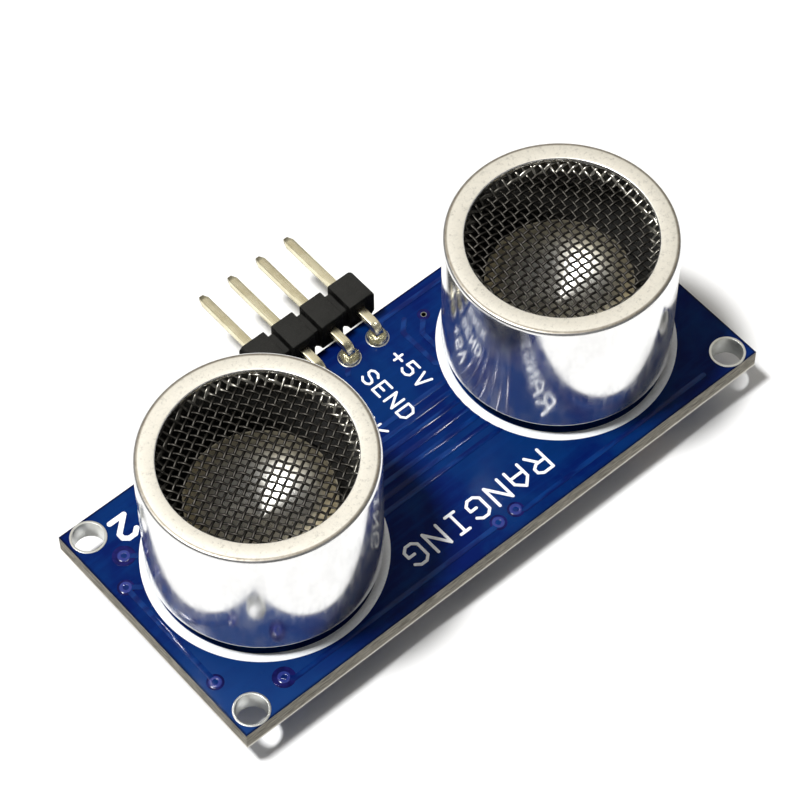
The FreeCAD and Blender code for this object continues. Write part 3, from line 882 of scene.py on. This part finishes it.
class MODULE_OT_back_copper(bpy.types.Operator):
    """Lay the back face's tracks and the soldered pads under its parts"""
    bl_idname = "module.back_copper"
    bl_label = "Back Copper"

    def execute(self, context):
        board = context.scene.module_board
        legs = {name + "_legs": islands(name + "_legs") for name in (*CHIPS, "transistor")}
        caps = {name: islands(name) for name in END_CAPS}
        pads = []
        margin = Vector((board.pad_margin, board.pad_margin, 0)) * 2
        for node, boxes in {**caps, **legs}.items():
            for low, high in boxes:
                extent, centre = high - low + margin, middle_of((low, high))
                if node in legs:
                    foot, side = 0.6 * MM, self.outward(node, centre)
                    extent.x = foot + margin.x
                    centre.x = (high.x if side > 0 else low.x) - side * foot / 2
                depth = 2.5 if node in caps else 1.0
                pad = slab(extent, centre, BACK - board.pad_height * depth, BACK + SUNK)
                round_edges(pad, board.pad_height * (1.8 if node in caps else 0.7), 2, 60)
                pads.append(pad)
        piece("back_pads", gathered(pads), solder_finish())
        lay_tracks("back_tracks", self.chip_runs(legs) + self.edge_runs(),
                   board.back_track_width, BACK, -1, 8, 1, 0.6)
        return {"FINISHED"}

    @staticmethod
    def outward(node, centre):
        """Which way a leg points from its chip: 1 towards +X, -1 towards -X."""
        return 1 if centre.x > middle_of(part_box(node)).x else -1

    def chip_runs(self, legs):
        """Slanting links from each chip's legs to the next chip, and stubs at the outer sides."""
        ends = {}
        for name in CHIPS:
            for box in legs[name + "_legs"]:
                centre = middle_of(box)
                side = self.outward(name + "_legs", centre)
                end = Vector((box[1].x if side > 0 else box[0].x, centre.y))
                ends.setdefault((name, side), []).append(end)
        runs = []
        controller, amplifier, driver = CHIPS
        lead = Vector((0.35 * MM, 0))
        for first, second in ((amplifier, controller), (controller, driver)):
            for start, end in zip(ends[first, 1], ends[second, -1]):
                runs.append([start, start + lead, end - lead, end])
        for name, side in ((amplifier, -1), (driver, 1)):
            for i, start in enumerate(ends[name, side]):
                lead = side * (0.5 + 0.25 * (i % 3))
                across, along = lead + side * 0.5, 0.5 if start.y > 0 else -0.5
                runs.append(route(start, (0, 0), (lead, 0), (across, along),
                                  (across + lead, along)))
        return runs

    @staticmethod
    def edge_runs():
        """Tracks from the header's pads and the capped holes along the board's long edges."""
        pads = centres("header_pads")
        low_left, high_left, upper, lower, mid_one, mid_two, bare = centres("via_barrels")
        return [route(pad, (0, 0), (0, -1.5)) for pad in pads] + [
            route(pads[3], (0, 0), (1.2, 0.9)) + route(bare, (-1.2, 1.5), (0, 0.3)),
            [high_left, (high_left.x, low_left.y)],
            route(upper, (0, 0), (2.4, 2.4))
            + [(pads[0].x - 2 * MM, upper.y + 2.4 * MM), pads[0]],
            route(lower, (0, 0), (0.8, -0.8))
            + [(mid_one.x - 0.8 * MM, lower.y - 0.8 * MM), mid_one],
            route(mid_two, (0, 0), (0.45, -0.45)) + [(-lower.x, mid_two.y - 0.45 * MM)],
        ]


class MODULE_OT_back_ink(bpy.types.Operator):
    """Print outlines round the back face's parts"""
    bl_idname = "module.back_ink"
    bl_label = "Back Ink"

    def execute(self, context):
        ink = context.scene.module_ink
        levels = BACK - ink.ink_height, BACK + SUNK
        shapes = []

        def side_lines(box, gap, along_x):
            """A line beside each of two opposite sides of a part."""
            (left, near, _), (right, far, _) = box
            ends = ([((left, y), (right, y)) for y in (near - gap, far + gap)] if along_x
                    else [((x, near), (x, far)) for x in (left - gap, right + gap)])
            shapes.extend(bar(*pair, ink.outline_stroke, *levels, 8) for pair in ends)

        for node in ("chip_resistors", "chip_capacitors", "reservoir_capacitor"):
            for low, high in islands(node):
                side_lines((low, high), 0.24 * MM, high.x - low.x > high.y - low.y)
        for number, name in enumerate(CHIPS, 1):
            low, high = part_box(name)
            side_lines((low, high), 0.35 * MM, True)
            dot = low.xy + Vector((-0.75, -0.45)) * MM
            shapes.append(bar(dot, dot + Vector((0.01 * MM, 0)), 0.45 * MM, *levels))
            place = (high.x + 0.7 * MM, high.y + 0.75 * MM)
            shapes += lettering(str(number), place, 1.1 * MM, 0.16 * MM, 0, 0.0, *levels, -1)
        side_lines(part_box("crystal_base"), 0.3 * MM, False)
        piece("back_ink", united(shapes), ink_finish(ink))
        return {"FINISHED"}


GLYPHS = {
    "R": [[(0, 0), (0, 1), (0.42, 1), (0.6, 0.86), (0.6, 0.64), (0.42, 0.5), (0, 0.5)],
          [(0.3, 0.5), (0.6, 0)]],
    "A": [[(0, 0), (0, 0.66), (0.3, 1), (0.6, 0.66), (0.6, 0)], [(0, 0.38), (0.6, 0.38)]],
    "N": [[(0, 0), (0, 1), (0.6, 0), (0.6, 1)]],
    "G": [[(0.6, 0.84), (0.42, 1), (0.18, 1), (0, 0.82), (0, 0.18), (0.18, 0), (0.42, 0),
           (0.6, 0.18), (0.6, 0.46), (0.34, 0.46)]],
    "I": [[(0.3, 0), (0.3, 1)], [(0.1, 0), (0.5, 0)], [(0.1, 1), (0.5, 1)]],
    "S": [[(0.6, 0.84), (0.42, 1), (0.16, 1), (0, 0.86), (0, 0.66), (0.14, 0.54), (0.46, 0.46),
           (0.6, 0.34), (0.6, 0.14), (0.44, 0), (0.18, 0), (0, 0.16)]],
    "E": [[(0.6, 0), (0, 0), (0, 1), (0.6, 1)], [(0, 0.5), (0.44, 0.5)]],
    "D": [[(0, 0), (0, 1), (0.36, 1), (0.6, 0.78), (0.6, 0.22), (0.36, 0), (0, 0)]],
    "B": [[(0, 0), (0, 1), (0.42, 1), (0.56, 0.88), (0.56, 0.64), (0.42, 0.52), (0, 0.52)],
          [(0.42, 0.52), (0.6, 0.38), (0.6, 0.14), (0.44, 0), (0, 0)]],
    "C": [[(0.6, 0.84), (0.42, 1), (0.18, 1), (0, 0.82), (0, 0.18), (0.18, 0), (0.42, 0),
           (0.6, 0.16)]],
    "K": [[(0, 0), (0, 1)], [(0.6, 1), (0, 0.42)], [(0.22, 0.62), (0.6, 0)]],
    "V": [[(0, 1), (0.3, 0), (0.6, 1)]],
    "+": [[(0.3, 0.18), (0.3, 0.82)], [(0, 0.5), (0.6, 0.5)]],
    "0": [[(0.16, 0), (0, 0.2), (0, 0.8), (0.16, 1), (0.44, 1), (0.6, 0.8), (0.6, 0.2),
           (0.44, 0), (0.16, 0)]],
    "1": [[(0.1, 0.8), (0.34, 1), (0.34, 0)], [(0.1, 0), (0.58, 0)]],
    "2": [[(0, 0.82), (0.18, 1), (0.44, 1), (0.6, 0.84), (0.6, 0.62), (0, 0), (0.6, 0)]],
    "3": [[(0, 0.86), (0.16, 1), (0.44, 1), (0.6, 0.86), (0.6, 0.64), (0.44, 0.52), (0.24, 0.52)],
          [(0.44, 0.52), (0.6, 0.38), (0.6, 0.16), (0.44, 0), (0.16, 0), (0, 0.14)]],
    "5": [[(0.58, 1), (0.04, 1), (0, 0.56), (0.4, 0.6), (0.6, 0.44), (0.6, 0.16), (0.42, 0),
           (0.16, 0), (0, 0.14)]],
}


def lettering(text, centre, height, stroke, pitch, turn, low, high, face=1, spread=1.15):
    """Flat stroked letters; turn is the direction in which the line reads, face the side."""
    shapes = []
    along = Vector((math.cos(turn), math.sin(turn)))
    up = Vector((-along.y, along.x)) * face
    tall = height - stroke
    for i, letter in enumerate(text):
        shift = (i - (len(text) - 1) / 2) * pitch
        for line in GLYPHS[letter]:
            points = [Vector(centre) + along * (shift + (across - 0.3) * tall * spread)
                      + up * (rise - 0.5) * tall for across, rise in line]
            shapes += path(points, stroke, low, high)
    return shapes


class MODULE_OT_ink(bpy.types.Operator):
    """Print the rings, the title and the pin labels"""
    bl_idname = "module.ink"
    bl_label = "Marking Ink"

    def execute(self, context):
        settings = context.scene.module_ink
        low, high = FRONT - SUNK, FRONT + settings.ink_height
        soft = settings.ink_height * 0.4
        material = ink_finish(settings)
        for name in TRANSDUCERS:
            inner, outer = settings.ring_inner, settings.ring_outer
            outline = rounded([(inner, low, 0), (outer, low, 0), (outer, high, soft),
                               (inner, high, soft)], 2)
            ring = lathe(outline, middle_of(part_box(name + "_can")), 192)
            piece(name + "_ink_ring", ring, material)
        reads_left, reads_down = math.pi, -math.pi / 2
        title = (settings.title_height, settings.title_stroke)
        label = (settings.label_height, settings.label_stroke)
        shapes = lettering("RANGING", (-0.13 * MM, -6.75 * MM), *title, 1.83 * MM, reads_left,
                           low, high)
        pitch, start = 1.25 * MM, 6.0 * MM
        for text, pin in zip(("+5V", "SEND", "BACK", "0V"), PINS):
            place = (middle_of(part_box(pin + "_pin")).x, start - (len(text) - 1) * pitch / 2)
            shapes += lettering(text, place, *label, pitch, reads_down, low, high)
        for text, x in (("2", -19.0), ("1", 19.0)):
            shapes += lettering(text, (x * MM, 7.6 * MM), 2.1 * MM, 0.38 * MM, 0, reads_left,
                                low, high)
        piece("ink_lettering", united(shapes), material)
        return {"FINISHED"}


class MODULE_OT_cans(bpy.types.Operator):
    """Spin the two drawn cans"""
    bl_idname = "module.cans"
    bl_label = "Transducer Cans"

    def execute(self, context):
        settings = context.scene.module_can
        material = can_finish(settings)
        for name in TRANSDUCERS:
            low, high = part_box(name + "_can")
            radius = (high.x - low.x) / 2
            inner, window = radius - settings.wall, radius - settings.face_width
            under = high.z - settings.wall
            outline = rounded([(radius, low.z, settings.foot_round),
                               (radius, high.z, settings.edge_round),
                               (window, high.z, 0.09 * MM), (window, under, 0.09 * MM),
                               (inner, under, 0.12 * MM), (inner, low.z, settings.foot_round)], 6)
            bm = lathe(outline, middle_of((low, high)), settings.segments)
            piece(name + "_drawn_can", bm, material, [name + "_can"])
        return {"FINISHED"}


class MODULE_OT_screens(bpy.types.Operator):
    """Weave the two wire screens"""
    bl_idname = "module.screens"
    bl_label = "Wire Screens"

    def execute(self, context):
        settings = context.scene.module_screen
        material = screen_finish(settings)
        turns = (settings.receiver_turn, settings.transmitter_turn)
        for name, turn in zip(TRANSDUCERS, turns):
            low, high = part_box(name + "_mesh_screen")
            radius = (high.x - low.x) / 2
            middle = middle_of((low, high))
            inner = radius - settings.border
            bm = gathered(self.wires(settings, inner + 0.15 * MM, (high.z - low.z) / 4))
            start, end = settings.dish_start, settings.dish_end
            for vert in bm.verts:
                way = min(1.0, max(0.0, (vert.co.xy.length - start) / (end - start)))
                vert.co.z -= settings.dish_depth * (1.0 - way * way * (3.0 - 2.0 * way))
            bmesh.ops.transform(bm, verts=bm.verts, matrix=Matrix.Translation(middle)
                                @ Matrix.Rotation(turn, 4, "Z"))
            border = lathe(rounded([(inner, low.z, 0.05 * MM), (radius, low.z, 0.05 * MM),
                                    (radius, high.z, 0.05 * MM), (inner, high.z, 0.05 * MM)], 2),
                           middle, 128)
            piece(name + "_woven_screen", gathered([bm, border]), material,
                  [name + "_mesh_screen"], math.radians(80))
        return {"FINISHED"}

    @staticmethod
    def wires(settings, reach, swing):
        """Straight wires bent into a plain weave about the origin, in both directions."""
        shapes = []
        count = int(reach / settings.pitch)
        steps_per_pitch = 4
        step = settings.pitch / steps_per_pitch
        for across in range(-count, count + 1):
            offset = across * settings.pitch
            half = int(math.sqrt(reach ** 2 - offset ** 2) / step)
            if half < steps_per_pitch:
                continue
            for direction in (0, 1):
                bm = bmesh.new()
                start = (Matrix.Translation((-half * step, offset, 0))
                         @ Matrix.Rotation(math.pi / 2, 4, "Y"))
                bmesh.ops.create_circle(bm, cap_ends=False, segments=8, radius=settings.wire / 2,
                                        matrix=start)
                bmesh.ops.spin(bm, geom=bm.verts[:] + bm.edges[:], cent=(0, 0, 0), axis=(0, 0, 1),
                               dvec=(step, 0, 0), angle=0, steps=2 * half, use_merge=False)
                bmesh.ops.holes_fill(bm, edges=[e for e in bm.edges if e.is_boundary], sides=8)
                sign = (-1) ** (across + direction)
                for vert in bm.verts:
                    wave = math.cos(math.pi * vert.co.x / settings.pitch)
                    vert.co.z = vert.co.z * 0.6 + sign * swing * wave
                bmesh.ops.rotate(bm, verts=bm.verts, cent=(0, 0, 0),
                                 matrix=Matrix.Rotation(direction * math.pi / 2, 3, "Z"))
                shapes.append(bm)
        return shapes


class MODULE_OT_insides(bpy.types.Operator):
    """Form the radiating cones and finish what sits inside the cans"""
    bl_idname = "module.insides"
    bl_label = "Transducer Insides"

    def execute(self, context):
        cone_metal = cone_finish()
        brass = metal_finish("plate_brass", (0.75, 0.56, 0.26), (0.45, 0.31, 0.14), 1.2, 0.22)
        tin = metal_finish("terminal_tin", (0.78, 0.77, 0.73), (0.5, 0.48, 0.42), 2.0, 0.2)
        copper = metal_finish("lead_copper", (0.84, 0.42, 0.24), (0.5, 0.22, 0.12), 3.0, 0.25)
        piezo = ceramic_finish("piezo_ceramic", (0.55, 0.5, 0.4), (0.4, 0.36, 0.3), 0.45)
        silicone = plastic_finish("silicone", (0.5, 0.5, 0.48), (0.34, 0.33, 0.31), 0.5, 2.0)
        phenolic = plastic_finish("base_phenolic", (0.012, 0.012, 0.014), (0.035, 0.034, 0.03))
        finishes = {"vibrating_plate": brass, "piezo_disc": piezo, "damping_ring": silicone,
                    "base": phenolic, "terminals": tin, "lead_wires": copper}
        for name in TRANSDUCERS:
            for part, material in finishes.items():
                coat(material, f"{name}_{part}")
            low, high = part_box(name + "_radiating_cone")
            top = (high.x - low.x) / 2
            wall, steps = 0.16 * MM, 14
            rise = high.z - low.z - wall
            ways = [step / steps for step in range(steps + 1)]
            bowl = [Vector((top * way, low.z + rise * (0.6 * way + 0.265 * way ** 3
                                                       + 0.135 * way ** 8))) for way in ways]
            outline = bowl + [Vector((top, high.z))]
            outline += [point + Vector((-wall * 0.6 if point.x else 0, wall))
                        for point in reversed(bowl)]
            bm = lathe(outline, middle_of((low, high)), 160, closed=False)
            piece(name + "_cone", bm, cone_metal, [name + "_radiating_cone"])
        return {"FINISHED"}


class MODULE_OT_pins(bpy.types.Operator):
    """Bend the four square header pins"""
    bl_idname = "module.pins"
    bl_label = "Header Pins"

    def execute(self, context):
        settings = context.scene.module_header
        material = pin_finish(settings)
        for name in PINS:
            low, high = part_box(name + "_pin")
            width = high.x - low.x
            x, z = (low.x + high.x) / 2, high.z - width / 2
            bend_y = low.y + width / 2 + settings.bend_radius
            bm = bmesh.new()
            start = (Matrix.Translation((x, high.y, z)) @ Matrix.Rotation(math.pi / 2, 4, "X")
                     @ Matrix.Rotation(math.pi / 4, 4, "Z"))
            bmesh.ops.create_circle(bm, cap_ends=False, segments=4, matrix=start,
                                    radius=settings.tip_width / math.sqrt(2))
            ring = bm.edges[:]
            growth = width / settings.tip_width
            ring = self.grown(bm, ring, (0, -settings.tip_length, 0), growth)
            run = high.y - settings.tip_length - bend_y
            ring = self.grown(bm, ring, (0, -run, 0))
            turned = bmesh.ops.spin(bm, geom=ring, axis=(1, 0, 0), angle=math.pi / 2, steps=10,
                                    cent=(x, bend_y, z - settings.bend_radius))
            ring = [g for g in turned["geom_last"] if isinstance(g, bmesh.types.BMEdge)]
            bottom = z - settings.bend_radius
            cut = 0.12 * MM
            ring = self.grown(bm, ring, (0, 0, low.z + cut - bottom))
            self.grown(bm, ring, (0, 0, -cut), 0.72)
            bmesh.ops.holes_fill(bm, edges=[e for e in bm.edges if e.is_boundary], sides=4)
            round_edges(bm, settings.pin_round, 2, 40)
            piece(name + "_bent_pin", bm, material, [name + "_pin"])
        return {"FINISHED"}

    @staticmethod
    def grown(bm, ring, step, factor=1.0):
        """Extrudes a ring of edges by step, scaled about its middle; returns the new ring."""
        made = bmesh.ops.extrude_edge_only(bm, edges=ring)["geom"]
        verts = [g for g in made if isinstance(g, bmesh.types.BMVert)]
        centre = sum((v.co for v in verts), Vector()) / len(verts)
        place = Matrix.Translation(centre + Vector(step))
        bmesh.ops.transform(bm, verts=verts, matrix=place @ Matrix.Scale(factor, 4)
                            @ Matrix.Translation(-centre))
        return [g for g in made if isinstance(g, bmesh.types.BMEdge)]


class MODULE_OT_housing(bpy.types.Operator):
    """Round off the header's moulding"""
    bl_idname = "module.housing"
    bl_label = "Header Housing"

    def execute(self, context):
        settings = context.scene.module_header
        bm = from_node("header_housing")
        round_edges(bm, settings.housing_round)
        material = plastic_finish("header_plastic", settings.housing_colour,
                                  (0.033, 0.0325, 0.03), 0.5, 2.2, 0.14)
        piece("header_moulding", bm, material, ["header_housing"])
        return {"FINISHED"}


class MODULE_OT_solder(bpy.types.Operator):
    """Flow the solder round the pins and the transducers' terminals"""
    bl_idname = "module.solder"
    bl_label = "Solder Joints"

    def execute(self, context):
        settings = context.scene.module_header
        material = solder_finish()
        for node, neck, name in (("header_solder_joints", settings.solder_neck, "pin_solder"),
                                 ("transducer_solder_joints", 0.56 * MM, "terminal_solder")):
            shapes = []
            for low, high in islands(node):
                foot = (high.x - low.x) / 2
                seat, crest = (low.z, high.z) if low.z > BACK else (high.z, low.z)
                rise = crest - seat
                outline = [(0, seat), (foot, seat)]
                for step in range(1, 9):
                    share_up = step / 8
                    bulge = 0.16 * math.sin(share_up * math.pi)
                    across = foot + (neck - foot) * (share_up ** 1.25) + bulge * (foot - neck)
                    outline.append((across, seat + rise * share_up ** 0.9))
                outline.append((0, crest))
                shapes.append(lathe(outline, middle_of((low, high)), 48, closed=False))
            piece(name, gathered(shapes), material, [node], math.radians(60))
        return {"FINISHED"}


class MODULE_OT_chips(bpy.types.Operator):
    """Finish the moulded chips, the transistor and their legs"""
    bl_idname = "module.chips"
    bl_label = "Chips"

    def execute(self, context):
        moulding = plastic_finish("chip_moulding", (0.013, 0.013, 0.014), (0.03, 0.03, 0.029),
                                  0.5, 6.0, 0.015)
        tin = metal_finish("leg_tin", (0.8, 0.8, 0.77), (0.55, 0.53, 0.48), 2.4, 0.18)
        coat(tin, "transistor_legs", *[name + "_legs" for name in CHIPS])
        for node in (*CHIPS, "switching_transistor"):
            bm = from_node(node)
            round_edges(bm, 0.05 * MM, 2, 20)
            piece(node + "_body", bm, moulding, [node])
        dimple = plastic_finish("moulded_dot", (0.022, 0.022, 0.023), (0.035, 0.035, 0.034), 0.25)
        dots = []
        rim, soft = 0.36 * MM, 0.015 * MM
        for node in CHIPS:
            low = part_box(node)[0]
            root, crest, dish = [low.z + up * MM for up in (0.02, -0.02, -0.004)]
            outline = rounded([(0, root, 0), (rim, root, 0), (rim, crest, soft),
                               (rim - 0.08 * MM, crest, soft), (rim - 0.12 * MM, dish, 0),
                               (0, dish, 0)], 3)
            place = low.xy + Vector((0.8, 0.8)) * MM
            dots.append(lathe(outline, place, 40, closed=False))
        piece("chip_dots", gathered(dots), dimple)
        return {"FINISHED"}


class MODULE_OT_chip_parts(bpy.types.Operator):
    """Finish the resistors, capacitors and crystal"""
    bl_idname = "module.chip_parts"
    bl_label = "Chip Parts"

    def execute(self, context):
        tin = metal_finish("end_cap_tin", (0.8, 0.8, 0.77), (0.55, 0.53, 0.48), 2.4, 0.2)
        bodies = {
            "chip_resistors": (ceramic_finish("resistor_glaze", (0.012, 0.012, 0.014),
                                              (0.03, 0.03, 0.035), 0.25), "resistor_glaze"),
            "chip_capacitors": (ceramic_finish("capacitor_ceramic", (0.4, 0.26, 0.14),
                                               (0.3, 0.19, 0.1), 0.4), "capacitor_ceramic"),
            "reservoir_capacitor": (ceramic_finish("reservoir_moulding", (0.42, 0.3, 0.18),
                                                   (0.32, 0.22, 0.12), 0.4), "reservoir_moulding"),
            "crystal_base": (ceramic_finish("crystal_ceramic", (0.05, 0.047, 0.045),
                                            (0.03, 0.03, 0.03), 0.45), "crystal_ceramic"),
            "crystal_lid": (metal_finish("crystal_metal", (0.8, 0.78, 0.72), (0.6, 0.57, 0.5),
                                         1.5, 0.2), "crystal_metal"),
        }
        for node in END_CAPS:
            bm = from_node(node)
            round_edges(bm, 0.06 * MM)
            piece(node + "_soft", bm, tin, [node])
        for node, (material, slot) in bodies.items():
            bm = from_node(node)
            round_edges(bm, 0.04 * MM)
            piece(node + "_soft", bm, material, [node])
        return {"FINISHED"}


class MODULE_OT_stage(bpy.types.Operator):
    """Set the floor, the light and the camera"""
    bl_idname = "module.stage"
    bl_label = "Stage"

    def execute(self, context):
        scene = context.scene
        settings = scene.module_stage
        scene.view_settings.view_transform = "Standard"
        self.floor(settings)
        self.light(settings)
        self.camera(scene, settings)
        return {"FINISHED"}

    @staticmethod
    def floor(settings):
        finish = Finish("floor", specular_ior_level=0.2)
        mottle = finish.noise(0.05, 3.0)
        colour = finish.blend(mottle * 0.2, settings.floor_colour,
                              brightened(settings.floor_colour, 0.97))
        material = finish.feed(base_color=colour, roughness=0.6)
        ground = CAD_BOX[0][2] - 0.02 * MM
        reach, rise = settings.floor_reach, settings.wall_height
        outline = rounded([(0, ground, 0), (reach, ground, rise * 0.45),
                           (reach, ground + rise, 0)], 8)
        bm = lathe(outline, (0, 0), 96, closed=False)
        bmesh.ops.recalc_face_normals(bm, faces=bm.faces)
        if max(bm.faces, key=lambda face: face.calc_area()).normal.z < 0:
            bmesh.ops.reverse_faces(bm, faces=bm.faces)
        floor = finished("floor", bm, material, math.pi)

    @staticmethod
    def light(settings):
        world = bpy.data.worlds.new("room")
        bpy.context.scene.world = world
        world.use_nodes = True
        background = world.node_tree.nodes["Background"]
        background.inputs["Color"].default_value = (1.0, 1.0, 1.0, 1.0)
        background.inputs["Strength"].default_value = settings.room_strength
        lamps = (("key", settings.key_strength, settings.key_width, (-0.33, 0.2, 1.0), (1, 1, 1)),
                 ("fill", settings.fill_strength, settings.fill_width, (0.43, 0.5, 1.0),
                  (1.0, 0.95, 0.86)))
        for name, strength, width, towards, colour in lamps:
            sun = bpy.data.lights.new(name, "SUN")
            sun.energy = strength
            sun.angle = width
            sun.color = colour
            lamp = placed(name, sun)
            lamp.rotation_euler = Vector(towards).to_track_quat("Z", "Y").to_euler()

    @staticmethod
    def camera(scene, settings):
        lens = bpy.data.cameras.new("camera")
        lens.sensor_width = 36.0
        lens.lens = settings.lens
        lens.clip_start = 0.005
        camera = placed("camera", lens)
        turn, rise = settings.azimuth, settings.elevation
        back = Vector((math.sin(turn) * math.cos(rise), -math.cos(turn) * math.cos(rise),
                       math.sin(rise)))
        camera.location = Vector((settings.aim_x, settings.aim_y, FRONT)) + back * settings.distance
        camera.rotation_mode = "QUATERNION"
        camera.rotation_quaternion = ((-back).to_track_quat("-Z", "Y")
                                      @ Quaternion((0, 0, 1), settings.roll))
        scene.camera = camera


# ---- panel and registration --------------------------------------------------------------

SETTINGS = {
    "module_board": BoardSettings,
    "module_ink": InkSettings,
    "module_can": CanSettings,
    "module_screen": ScreenSettings,
    "module_header": HeaderSettings,
    "module_stage": StageSettings,
}
OPERATORS = (MODULE_OT_board, MODULE_OT_tracks, MODULE_OT_holes, MODULE_OT_back_copper,
             MODULE_OT_back_ink, MODULE_OT_ink, MODULE_OT_cans, MODULE_OT_screens,
             MODULE_OT_insides, MODULE_OT_pins, MODULE_OT_housing, MODULE_OT_solder,
             MODULE_OT_chips, MODULE_OT_chip_parts, MODULE_OT_stage)


class MODULE_PT_panel(bpy.types.Panel):
    """Lists the module's pieces and their settings"""
    bl_label = "Ranging Module"
    bl_idname = "MODULE_PT_panel"
    bl_space_type = "VIEW_3D"
    bl_region_type = "UI"
    bl_category = "Ranging Module"

    def draw(self, context):
        for operator in OPERATORS:
            self.layout.operator(operator.bl_idname)
        for group_name, group in SETTINGS.items():
            box = self.layout.box()
            for name in group.__annotations__:
                box.prop(getattr(context.scene, group_name), name)


def register():
    for group_name, group in SETTINGS.items():
        bpy.utils.register_class(group)
        setattr(bpy.types.Scene, group_name, PointerProperty(type=group))
    for operator in OPERATORS:
        bpy.utils.register_class(operator)
    bpy.utils.register_class(MODULE_PT_panel)


def unregister():
    bpy.utils.unregister_class(MODULE_PT_panel)
    for operator in reversed(OPERATORS):
        bpy.utils.unregister_class(operator)
    for group_name, group in SETTINGS.items():
        delattr(bpy.types.Scene, group_name)
        bpy.utils.unregister_class(group)


def main():
    register()
    for operator in OPERATORS:
        group, action = operator.bl_idname.split(".")
        getattr(getattr(bpy.ops, group), action)()


if __name__ == "__main__":
    main()
